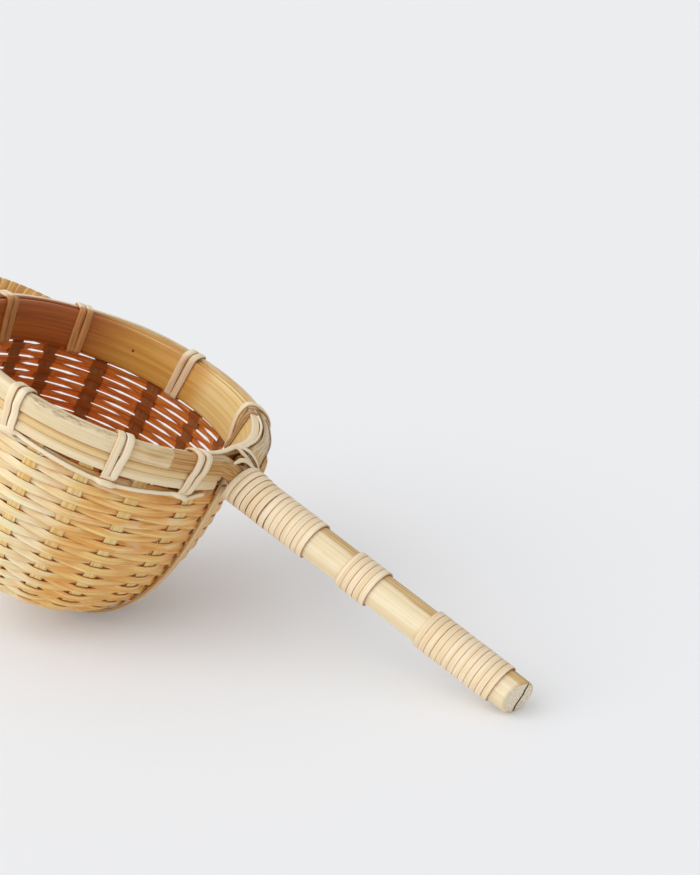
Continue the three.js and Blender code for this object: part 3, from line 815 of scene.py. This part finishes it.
nearEnd, farEnd = lathEnd(-1), lathEnd(1)
start = atan2(nearEnd[-1]["point"].y, nearEnd[-1]["point"].x)
turnSweep = 2 * pi + 2 * start
lathSteps = 200
lathRoute = list(nearEnd)
for i in range(1, lathSteps):
    angle = start - turnSweep * i / lathSteps
    arm, drop = (rule(math.degrees(angle) % 360) for rule in (thickening, lathDrop))
    point = polar(rim["lathInner"], angle, rim["lathTop"] - rim["lathHeight"] / 2 - drop)
    run = Vector((sin(angle), -cos(angle), 0))
    side = -1 if i < lathSteps / 2 else 1
    lathRoute.append(lathStation(point, polar(1, angle, 0), run, 0.0, (0, arm, 1 - arm), side))
for station in farEnd[::-1]:
    lathRoute.append(dict(station, run=-station["run"]))
bm = newShape(lathLook["marks"])
sweep(bm, lathRoute, lathSection, lathCount)

# the saw cut leans back on the near side
slope = math.tan(radians(handle["sawTilt"]))
sawBegin, sawFull = (handle["reach"] - length for length in handle["sawRun"])
sideways, down = handle["sawLean"]
for vert in bm.verts:
    offset = vert.co - handleRoot
    cut = smoothStep(offset.dot(handleRun), sawBegin, sawFull)
    if cut and abs(vert.co.y) < handle["clear"]:
        lean = slope * (sideways * offset.y - down * offset.dot(handleUp))
        vert.co += handleRun * cut * (lean - handle["sawBack"])

# where the lath keeps its golden skin, where it was shaved or sawn, and where painted shade darkens the
# split between the handle's halves, the near arm and the far arm's skin edge
golden, skinned, shaved, scuffed, sawn, paintedLathShade = markLayers(bm, lathLook["marks"])
for vert in bm.verts:
    along = (vert.co - handleRoot).dot(handleRun)
    if along > 2 and abs(vert.co.y) < handle["clear"]:
        height = (vert.co - handleRoot).dot(handleUp)
        vert[golden] = smoothStep(0.39 * vert.co.y + 0.92 * height, 1.6, 3.4) * 0.85
        inSplit = abs(vert.co.y - handle["split"]) < 0.5 and abs(height) < 0.8 * handle["radius"]
        # painted shade in the split between the two halves
        vert[paintedLathShade] = 1.0 if along > 8 and inSplit else 0.0
    else:
        radius, degrees = rimPlace(vert.co)
        span = {name: window(degrees, *ends) for name, ends in lathSpans.items()}
        edge = smoothStep(vert.co.z, -1.4, 0.0) * smoothStep(radius, 38.4, 39.2)
        vert[scuffed] = 0.6 * span["scuffed"] * edge
        armTop = 0.6 * smoothStep(degrees, -23, -20) * (1 - smoothStep(-vert.co.z, -0.6, 1))
        vert[shaved] = max(0.35 * span["scraped"], armTop if degrees < 0 else 0.9 * span["farArm"])
        # the near arm is painted darker towards its lower side and with a little dark brown, as painted
        # shade
        paintedLowShade = 0.6 + 0.4 * smoothStep(-vert.co.z, -1, 2)
        vert[skinned] = max(0.85 * span["skin"], span["nearArm"] * paintedLowShade)
        vert[paintedLathShade] = 0.35 * span["nearArm"]
        if 0 < degrees < 42:
            reach, slant, curve = handle["skinEdge"]
            beyond = radius - reach - slant * degrees - curve * degrees**2
            bark = smoothStep(beyond, -0.1, 0.2)
            vert[skinned], vert[shaved] = 0.9 * bark, vert[shaved] * (1 - bark)
            # a dark line of painted shade where the shaved face meets the skin
            vert[paintedLathShade] = 0.8 * (1 - smoothStep(abs(beyond), 0.1, 0.35))
        vert[golden] = 0.55 - 0.2 * span["pale"] - 0.3 * smoothStep(abs(degrees), 100, 140)
caps = [face for face in bm.faces if len(face.verts) > 8]
bmesh.ops.inset_individual(bm, faces=caps, thickness=0.12, use_even_offset=True)
for face in caps:
    for vert in face.verts:
        vert[sawn], vert[paintedLathShade], vert[golden] = 1.0, 0.0, 0.0
finishPiece(bm, "handleLath", stripMaterial(lathLook), "lath", "handle_hoop", 40)

# Rattan: close wraps on the handle, lashings on the rim
cane = {
    "thick": 0.55,
    "steps": 36,  # to a turn
    "lead": 0.75,  # of a turn before the top: the strip comes in on the near side
    "clear": 0.04,
    "slantTurns": 5.4,
    "slantLoss": 0.6,  # share of the slant that is lost over these turns
    "bulgeTurns": (0.5, 4),
    "stray": (0.07, 0.06, 0.03),  # along, outwards and in breadth
}
lash = {
    "angles": [49, 91, 137.5, 173, 196, 240, 272, 309.5, 338],
    "loose": 49,
    "width": 1.85,
    "thick": 0.66,
    "apart": 2.3,
    "stray": 0.006,
    "shadeSpan": (20, 165, 215, 270),  # degrees over which the lashings take painted shade inside the bowl
    "shadeDepth": (-2.0, 2.4),  # inwards of the band's outside
    "tailWidth": 0.7,  # share of the full width
}
# Peeled rattan: smooth cream core cane, silky, with a brown line where two turns meet, painted shade in
# the crevice between them
caneLook = dict(
    name="peeledRattanCane", light="#F7E8CC", deep="#EDD6AE", line="#D8B57E", worn="#E6CA98",
    # the inner colours are painted shade: dark brown, they show on the loose lashing's tail inside the
    # bowl
    inner="#B88444", innerDeep="#96622C", edge="#C08C52", width=lash["width"], edgeStart=0.43,
    edgeDepth=0.6, fibreLength=12.0, fibreWidth=0.22, streakLength=30.0, patchSize=7.0,
    grainDepth=0.5, wornDepth=0.3, innerDepth=0.85, bump=0.4, roughness=0.45,
)
# painted shade darkens the lashings too, inside the bowl
caneMarks = [("paintedShade", "#D08A38", "#9E5A16", 10.0, 0.5, 0.5, 0.9)]
caneFinish = stripMaterial(dict(caneLook, marks=caneMarks))
# The same cane drawn tight round the handle: brown lines where the turns meet, painted shade in the
# crevices between turns
wrapLook = dict(caneLook, name="wrappedRattanCane", edge="#B87030", edgeStart=0.385, edgeDepth=0.82)
wrapLook.update(width=1.6, light="#F1E0C2", deep="#E7CFA6")
wrapFinish = stripMaterial(wrapLook)
wraps = [
    {"name": "handleWrapBowl", "node": "handle_wrap_bowl", "from": 0.9, "to": 23.3, "turns": 14},
    {"name": "handleWrapMiddle", "node": "handle_wrap_middle", "from": 33.0, "to": 41.6, "turns": 5},
    {"name": "handleWrapEnd", "node": "handle_wrap_end", "from": 55.3, "to": 76.2, "turns": 13},
]
# the first turns at the bowl lean, and lie over the ends of the strands that come from the fork
wraps[0].update(slant=0.6, bulge=0.5)
slantTurns = cane["slantTurns"]
strayAlong, strayOut, strayBreadth = cane["stray"]
for wrap in wraps:
    pitch = (wrap["to"] - wrap["from"]) / (wrap["turns"] + 1 - cane["lead"])
    route = []
    for i in range(wrap["turns"] * cane["steps"] + 1):
        turn = i / cane["steps"] - cane["lead"]
        angle = 2 * pi * turn
        normal = handleUp * cos(angle) + Vector((0, sin(angle), 0))
        fade = 1 - smoothStep(turn, slantTurns, slantTurns + 0.5)
        lean = wrap.get("slant", 0.0) * (1 - cane["slantLoss"] * clamp(turn / slantTurns)) * fade
        along = wrap["from"] + pitch * (turn + 1)
        along += lean * ((cos(angle) + sin(angle)) / math.sqrt(2) - 1)
        along += strayAlong * stray(turn * 0.9, wrap["from"], 1.0)
        radius = handle["radius"] + cane["thick"] / 2 + cane["clear"]
        radius += strayOut * stray(turn * 0.45, wrap["from"], 6.0)
        bulge = wrap.get("bulge", 0.0) * (1 - smoothStep(turn, *cane["bulgeTurns"]))
        radius += bulge * (0.5 + 0.5 * cos(angle))
        point = handleRoot + handleRun * along + normal * radius
        width = pitch * (1 + strayBreadth * stray(turn * 0.7, wrap["from"], 8.0))
        route.append(stripStation(point, normal, width, cane["thick"]))
    names = wrap["name"], wrapFinish, "rattan", wrap["node"]
    finishStrip(route, wrapSection, 16, 700 + 400 * wrap["from"], *names)

# Lashings: each goes over the rim twice. The strand that runs on below them holds their ends.
# Radius, height, facing out, facing up and how far the two turns stand apart, from the outside
# below the rim over its top to the inside, and back below it
lashTurn = [
    (38.25, -9.4, 0.9, -0.4, 0.8), (38.95, -7.5, 1, -0.2, 0.9), (39.5, -4.8, 1, -0.15, 0.95),
    (40.28, -2.6, 1, -0.05, 1.0), (40.3, -0.5, 1, 0.1, 1.0), (40.0, 0.7, 0.7, 0.7, 1.0),
    (39.2, 1.1, 0.2, 1, 1.0), (37.2, 0.98, -0.15, 1, 1.0), (35.6, 0.4, -0.5, 1, 1.0),
    (34.98, -0.6, -1, 0.3, 1.05), (34.35, -4.4, -1, -0.1, 1.05), (33.45, -9.2, -1, -0.2, 1.0),
    (33.3, -10.1, -0.8, -0.7, 0.9), (34.2, -10.65, -0.2, -1, 0.75), (36.1, -10.9, 0.3, -1, 0.65),
    (37.9, -9.9, 0.7, -0.8, 0.7),
]
# one lashing was drawn through once and stands off the band; its last figure is in degrees
looseTurn = [
    (38.3, -9.4, 0.9, -0.4, -8.0), (39.2, -6.6, 1, -0.2, -7.6), (40.5, -3.6, 1, -0.1, -6.4),
    (40.95, -1.5, 1, 0.0, -5.0), (40.55, -0.2, 1, 0.3, -3.5), (39.6, 0.9, 0.7, 0.7, -1.5),
    (37.9, 1.6, 0.1, 1, 0.0), (35.66, 1.75, -0.3, 1, 0.0), (34.4, 0.86, -0.8, 0.7, 0.0),
    (33.4, -1.7, -1, 0.1, -0.7), (33.3, -5.4, -1, 0.0, -2.0), (33.5, -8.4, -1, -0.1, -3.0),
    (33.35, -10.1, -0.8, -0.7, -3.2), (34.2, -10.65, -0.2, -1, -3.5), (36.1, -10.9, 0.3, -1, -4.5),
    (37.9, -9.9, 0.7, -0.8, -6.0),
]
# inside it the strip's tail goes down along the band, its back to the middle of the bowl, so that its
# dark inner colours show there as painted shade
looseTail = [
    (37.0, 0.75, 0, -1, -5.0), (35.3, 0.75, 0.3, -1, -5.0), (34.4, -0.6, 1, -0.3, -5.0),
    (34.0, -3.6, 1, 0.1, -4.8), (33.6, -7.0, 1, 0.1, -4.5), (33.2, -9.8, 1, 0.3, -4.2),
    (34.3, -10.7, 0.2, 1, -4.2),
]


def lashStation(radius, z, out, up, angle, width):
    facing = polar(out, angle, up).normalized()
    return stripStation(polar(radius, angle, z), facing, width, lash["thick"])


strand = {
    "level": 10.7,
    "width": 1.05,
    "thick": 0.65,
    "swell": (0.4, 0.3),  # broader and thicker over a lashing
    "out": (1.7, 0.9),  # off the wall, and how much more over a lashing
    "lift": 0.45,
    "over": (1.6, 4.2),  # degrees to each side of a lashing, as the next
    "cross": 2.4,
    "reach": (2, 11),  # degrees before the first lashing and after the last
    "step": 0.8,  # degrees
    "stray": 0.2,
    "sag": 0.65,  # it comes to a lashing high, crosses it and leaves low
    "ends": {272: (-1, -2.2), 309.5: (1, 1)},  # it stays high at one and low at the next
}


# how low the strand comes to a lashing and leaves it
def strandEnds(place):
    return strand["ends"].get(place, (-1, 1))


bm = newShape(caneMarks)
half = lash["apart"] / 2 / rim["radius"]
for place in lash["angles"]:
    if place == lash["loose"]:
        continue
    stations = []
    for sense in (-1, 1):
        for radius, z, out, up, spread in lashTurn:
            aside = sense * spread * half + lash["stray"] * stray(place, z * 0.2, sense)
            drop = lathDrop(place) * smoothStep(radius, 35.4, 38.4) * smoothStep(z, -4, -1)
            angle = radians(place) + aside
            stations.append(lashStation(radius, z - drop, out, up, angle, lash["width"]))
    sweep(bm, smoothRoute(stations, 4), caneSection, start=37.0 * place)
for turn, share in ((looseTurn, 1.0), (looseTail, lash["tailWidth"])):
    width = share * lash["width"]
    stations = []
    for radius, z, out, up, aside in turn:
        angle = radians(lash["loose"] + aside)
        stations.append(lashStation(radius, z, out, up, angle, width))
    sweep(bm, smoothRoute(stations, 5), caneSection, start=61.0 * width)
# where the running strand goes, before it is drawn smooth
firstLash, lastLash = lash["angles"][0], lash["angles"][-1]
strandStart, strandEnd = firstLash - strand["reach"][0], lastLash + strand["reach"][1]
cross = strand["cross"]
bends = []
for i in range(int((strandEnd - strandStart) / strand["step"]) + 1):
    degrees = strandStart + strand["step"] * i
    nearest = min(lash["angles"], key=lambda place: abs(degrees - place))
    before = max((place for place in lash["angles"] if place <= degrees), default=firstLash)
    after = min((place for place in lash["angles"] if place > degrees), default=strandEnd)
    (arrive, leave), t = strandEnds(nearest), (degrees - nearest + cross) / 2 / cross
    if abs(degrees - nearest) > cross:
        leave, arrive = strandEnds(after)[0], strandEnds(before)[1]
        t = (degrees - before - cross) / (after - before - 2 * cross)
    sag = arrive + (leave - arrive) * clamp(t)
    over = 1 - smoothStep(abs(degrees - nearest), *strand["over"])
    level = strand["level"] + strand["sag"] * sag - strand["lift"] * over
    level += strand["stray"] * stray(degrees * 0.11, 5.0, 2.0)
    bends.append((radians(degrees), level, over))
route = []
off, offOver = strand["out"]
broader, thicker = strand["swell"]
for i, (angle, _, over) in enumerate(bends):
    around = [bend[1] for bend in bends[max(i - 2, 0) : i + 3]]
    point, normal = wallStation(sum(around) / len(around), angle, off + offOver * over)[:2]
    width, thick = strand["width"] * (1 + broader * over), strand["thick"] * (1 + thicker * over)
    route.append(stripStation(point, normal, width, thick))
sweep(bm, route, stripSection, start=50.0)
(paintedShade,) = markLayers(bm, caneMarks)
# painted shade on the lashings inside the band, on the ear's side
for vert in bm.verts:
    radius, degrees = rimPlace(vert.co)
    side = window(degrees % 360, *lash["shadeSpan"])
    vert[paintedShade] = side * smoothStep(rim["bandOuter"] - radius, *lash["shadeDepth"])
finishPiece(bm, "rimBinding", caneFinish, "rattan", "rim_binding")

# Strands over the fork: one along the rim and down to the handle, one beside it, one across
# the arms, and two ends that lie on the rim as far as the first lashing
fork = {"thick": 0.55, "widths": [1.4, 1.3, 1.3, 2.0, 0.6], "tapers": [1.0, 1.0, 0.35, 1.0, 1.0]}
# x, y, z, and how far the strip leans to x and to y
forkRoutes = [
    [
        (*onRim(37.5, -20, 0.8), 0, 0), (*onRim(37.6, -15, 0.95), 0, 0),
        (*onRim(37.25, -10.8, 1.0), 0, 0), (*onRim(36.75, -6.3, 1.1), -0.1, 0),
        (36.5, -2.0, 1.35, 0, 0), (37.3, -0.9, 1.3, 0.3, 0), (38.5, -0.6, 0.8, 0.5, 0),
        (39.8, 0.4, -0.1, 0.6, 0.1), (41.2, 1.7, -1.6, 0.5, 0.2), (42.6, 2.3, -2.6, 0.3, 0.3),
        (44.5, 2.5, -3.0, 0.1, 0.5),
    ],
    [
        (36.2, -1.0, 0.75, -0.3, 0), (36.7, 0.3, 1.2, 0, 0), (37.7, 1.2, 1.25, 0.3, 0.1),
        (39.1, 2.4, 0.7, 0.6, 0.2), (40.9, 3.4, -0.75, 0.6, 0.3), (42.4, 3.5, -2.4, 0.4, 0.6),
        (44.3, 3.3, -3.5, 0.1, 0.9),
    ],
    [
        (40.2, -6.4, -0.2, 0.3, -0.3), (40.1, -4.9, 0.0, 0.2, -0.2), (40.1, -3.2, 0.2, 0.2, -0.1),
        (40.6, -1.5, 0.0, 0.5, 0), (41.6, 0.4, -1.1, 0.6, 0), (42.7, 1.3, -1.95, 0.4, 0.1),
        (44.2, 1.3, -2.35, 0.1, 0.2),
    ],
    [
        (36.3, -1.6, 0.95, 0, 0), (*onRim(36.1, 1.6, 0.9), 0, 0), (*onRim(35.95, 9, 0.6), -0.1, 0),
        (*onRim(35.85, 16, 0.5), -0.15, 0), (*onRim(35.75, 24, 0.45), -0.15, 0),
        (*onRim(35.75, 33, 0.45), -0.1, 0), (*onRim(36.0, 43, 0.45), 0, 0),
        (*onRim(36.4, 50, 0.3), 0, 0),
    ],
    [
        (*onRim(37.1, 3, 0.55), 0, 0), (*onRim(36.95, 9, 0.75), 0, 0),
        (*onRim(37.05, 16, 0.75), 0, 0), (*onRim(37.05, 26, 0.7), 0, 0),
        (*onRim(37.2, 36, 0.7), 0, 0), (*onRim(37.4, 50, 0.5), 0, 0),
    ],
]
bm = newShape()
for k, points in enumerate(forkRoutes):
    stations = []
    for i, (x, y, z, leanX, leanY) in enumerate(points):
        width = fork["widths"][k] * min(1.0, fork["tapers"][k] + 0.3 * i)
        facing = Vector((leanX, leanY, 1)).normalized()
        stations.append(stripStation(Vector((x, y, z)), facing, width, fork["thick"]))
    sweep(bm, smoothRoute(stations, 5), caneSection, start=11.0 + 40 * k)
finishPiece(bm, "jointBinding", caneFinish, "rattan", "joint_binding")

# Ear: a bent rod under a close wrap, opposite the handle
ear = {
    "width": 44.6,
    "reach": 13.0,
    "bite": 0.9,  # its feet are let into the rim's lath
    "slant": 6.0,  # how much its legs draw together
    "level": -3.0,
    "rod": 3.2,
    "steps": 240,
    "rodSteps": 6,  # the rod has a ring at every sixth of these
    "pitch": 2.15,
    "strip": 2.12,
    "thick": 0.55,
    "clear": 0.02,
    "margin": 1.2,  # left bare at each foot
    "turnSteps": 24,
}
earHalf = math.asin(ear["width"] / 2 / rim["radius"])
earRoot = rim["radius"] - ear["bite"]
earStart = polar(earRoot, pi - earHalf, ear["level"])
earEnd = polar(earRoot, pi + earHalf, ear["level"])
earPull = (-rim["radius"] - ear["reach"] - earStart.x) / 0.75  # a bend goes three quarters of the way
earSlant = Vector((0, ear["slant"], 0))
earTurn = Vector((earPull, 0, 0))
earControls = [earStart, earStart + earTurn - earSlant, earEnd + earTurn + earSlant, earEnd]
earLine = [blend(earControls, bendWeights(i / ear["steps"])) for i in range(ear["steps"] + 1)]
earLengths = [0.0]
for a, b in zip(earLine, earLine[1:]):
    earLengths.append(earLengths[-1] + (b - a).length)
upright = Vector((0, 0, 1))


def earAt(length):
    i = min(bisect.bisect_left(earLengths, length, 1), ear["steps"])
    t = clamp((length - earLengths[i - 1]) / (earLengths[i] - earLengths[i - 1]))
    run = (earLine[min(i + 1, ear["steps"])] - earLine[max(i - 2, 0)]).normalized()
    return earLine[i - 1].lerp(earLine[i], t), run.cross(upright).normalized()


# Bamboo rod, peeled and bent: brown where it shows between the turns of its wrap
earRodLook = dict(ribLook, name="bambooEarRod", light="#A8682C", deep="#7E481A", width=ear["rod"])
route = [stripStation(point, upright, ear["rod"], ear["rod"]) for point in earLine[:: ear["rodSteps"]]]
finishStrip(route, rodSection, 16, 0.0, "earRod", stripMaterial(earRodLook), "ear", "ear_core")
turns = math.floor((earLengths[-1] - 2 * ear["margin"]) / ear["pitch"])
route = []
for i in range(turns * ear["turnSteps"] + 1):
    point, outward = earAt(ear["margin"] + ear["pitch"] * i / ear["turnSteps"])
    angle = 2 * pi * i / ear["turnSteps"]
    normal = outward * cos(angle) + upright * sin(angle)
    point += normal * (ear["rod"] / 2 + ear["thick"] / 2 + ear["clear"])
    route.append(stripStation(point, normal, ear["strip"], ear["thick"]))
# Rattan with its skin left on: golden brown, pale along the edges
earWrapLook = dict(
    caneLook, name="skinnedRattanWrap", light="#DDAA5C", deep="#BE8030", line="#9A6020",
    worn="#D2A868", edge="#FBEBC8", width=ear["strip"], edgeStart=0.36, edgeDepth=0.95,
)
finishStrip(route, caneSection, 12, 9000, "earWrap", stripMaterial(earWrapLook), "rattan", "ear_wrap")

# The splint under the bowl, down the wall below the handle and up again below the ear
strap = {"width": 2.0, "thick": 0.8, "overWeave": 1.45, "overBase": 1.25, "above": 1.0, "steps": 30}
strapTop = weave["top"] - strap["above"]
sides = []
for angle in (0.0, pi):
    stations = []
    for i in range(strap["steps"] + 1):
        distance = strapTop + (wallLength - strapTop) * i / strap["steps"]
        base = smoothStep(distance, weaveFoot, wallLength - ribs["pitch"])
        offset = strap["overWeave"] + (strap["overBase"] - strap["overWeave"]) * base
        point, normal = wallStation(distance, angle, offset)[:2]
        stations.append(stripStation(point, normal, strap["width"], strap["thick"]))
    sides.append(stations)
route = sides[0][:-1] + sides[1][::-1]
# Bamboo, split and planed: pale golden, with brown edges, the same painted crevice shade as on the other
# strips
strapLook = dict(bandLook, name="bambooUnderStrap", light="#F0D4A0", deep="#DDB678", edge="#9A662C")
strapLook["width"] = strap["width"]
finishStrip(route, stripSection, 12, 300, "underStrap", stripMaterial(strapLook), "lath", "under_strap")

# Floor, light and camera
studio = {
    "floor": "#EEEFF1",
    "floorGlow": 0.2,
    "floorRadius": 6.0,
    "backdrop": "#EDEEF0",
    "sky": (0.32, 0.96),  # away from the window and towards it
    "skySpan": (-0.4, 0.9),  # where the one begins to go over into the other, and where it ends
    "sun": 1.2,
    "sunSoftness": 60.0,
    "lightFrom": (-0.43, -0.634, 0.643),
}


# 1 for what the camera sees, directly, in a shine or through glass
def seenDirectly(tree):
    path = addNode(tree, "ShaderNodeLightPath").outputs
    seen = path["Is Camera Ray"]
    for ray in ("Is Glossy Ray", "Is Transmission Ray"):
        inputs = {0: seen, 1: path[ray]}
        seen = addNode(tree, "ShaderNodeMath", {"operation": "MAXIMUM"}, inputs).outputs[0]
    return seen


floorMesh = bpy.data.meshes.new("floor")
bm = bmesh.new()
bmesh.ops.create_circle(bm, cap_ends=True, radius=studio["floorRadius"], segments=64)
bm.to_mesh(floorMesh)
bm.free()
floor = addObject("floor", floorMesh)
# Painted board: dull and even, so that only the soft shadow shows on it
floorMaterial, tree = blankMaterial("paintedBoard")
inputs = {"Base Color": tint(studio["floor"]), "Roughness": 0.9, "Specular IOR Level": 0.1}
shade = addNode(tree, "ShaderNodeBsdfPrincipled", None, inputs).outputs[0]
inputs = {"Color": tint(studio["floor"]), "Strength": 1.0}
pale = addNode(tree, "ShaderNodeEmission", None, inputs).outputs[0]
inputs = {0: seenDirectly(tree), 1: studio["floorGlow"]}
share = addNode(tree, "ShaderNodeMath", {"operation": "MULTIPLY"}, inputs).outputs[0]
board = addNode(tree, "ShaderNodeMixShader", None, {0: share, 1: shade, 2: pale}).outputs[0]
addNode(tree, "ShaderNodeOutputMaterial", None, {"Surface": board})
floorMesh.materials.append(floorMaterial)

# the room is bright on the window's side and dim on the other
world = bpy.data.worlds.new("studio")
bpy.context.scene.world = world
world.use_nodes = True
tree = world.node_tree
tree.nodes.clear()
direction = addNode(tree, "ShaderNodeTexCoord").outputs["Generated"]
inputs = {0: direction, 1: studio["lightFrom"]}
towards = addNode(tree, "ShaderNodeVectorMath", {"operation": "DOT_PRODUCT"}, inputs).outputs["Value"]
dim, bright = studio["sky"]
low, high = studio["skySpan"]
inputs = {"Value": towards, "From Min": low, "From Max": high, "To Min": dim, "To Max": bright}
strength = addNode(tree, "ShaderNodeMapRange", softRange, inputs).outputs[0]
inputs = {"Color": tint("#FFFFFF"), "Strength": strength}
soft = addNode(tree, "ShaderNodeBackground", None, inputs).outputs[0]
inputs = {"Color": tint(studio["backdrop"]), "Strength": 1.0}
shown = addNode(tree, "ShaderNodeBackground", None, inputs).outputs[0]
sky = addNode(tree, "ShaderNodeMixShader", None, {0: seenDirectly(tree), 1: soft, 2: shown}).outputs[0]
addNode(tree, "ShaderNodeOutputWorld", None, {"Surface": sky})

# a broad soft light from the front and left
lamp = bpy.data.lights.new("windowLight", "SUN")
lamp.energy = studio["sun"]
lamp.angle = radians(studio["sunSoftness"])
lampObject = addObject("windowLight", lamp)
lampObject.rotation_euler = (-Vector(studio["lightFrom"])).to_track_quat("-Z", "Y").to_euler()

camera = {"place": (0.250537, -0.354977, 0.205223), "turn": (70.0864, 0.17, 31.1221), "lens": 83.04}
cameraData = bpy.data.cameras.new("photoCamera")
cameraData.lens = camera["lens"]
cameraData.clip_start = 0.01
cameraObject = addObject("photoCamera", cameraData)
cameraObject.location = camera["place"]
cameraObject.rotation_euler = [radians(a) for a in camera["turn"]]
bpy.context.scene.camera = cameraObject
bpy.context.scene.view_settings.view_transform = "Standard"
print("floor, light and camera set")
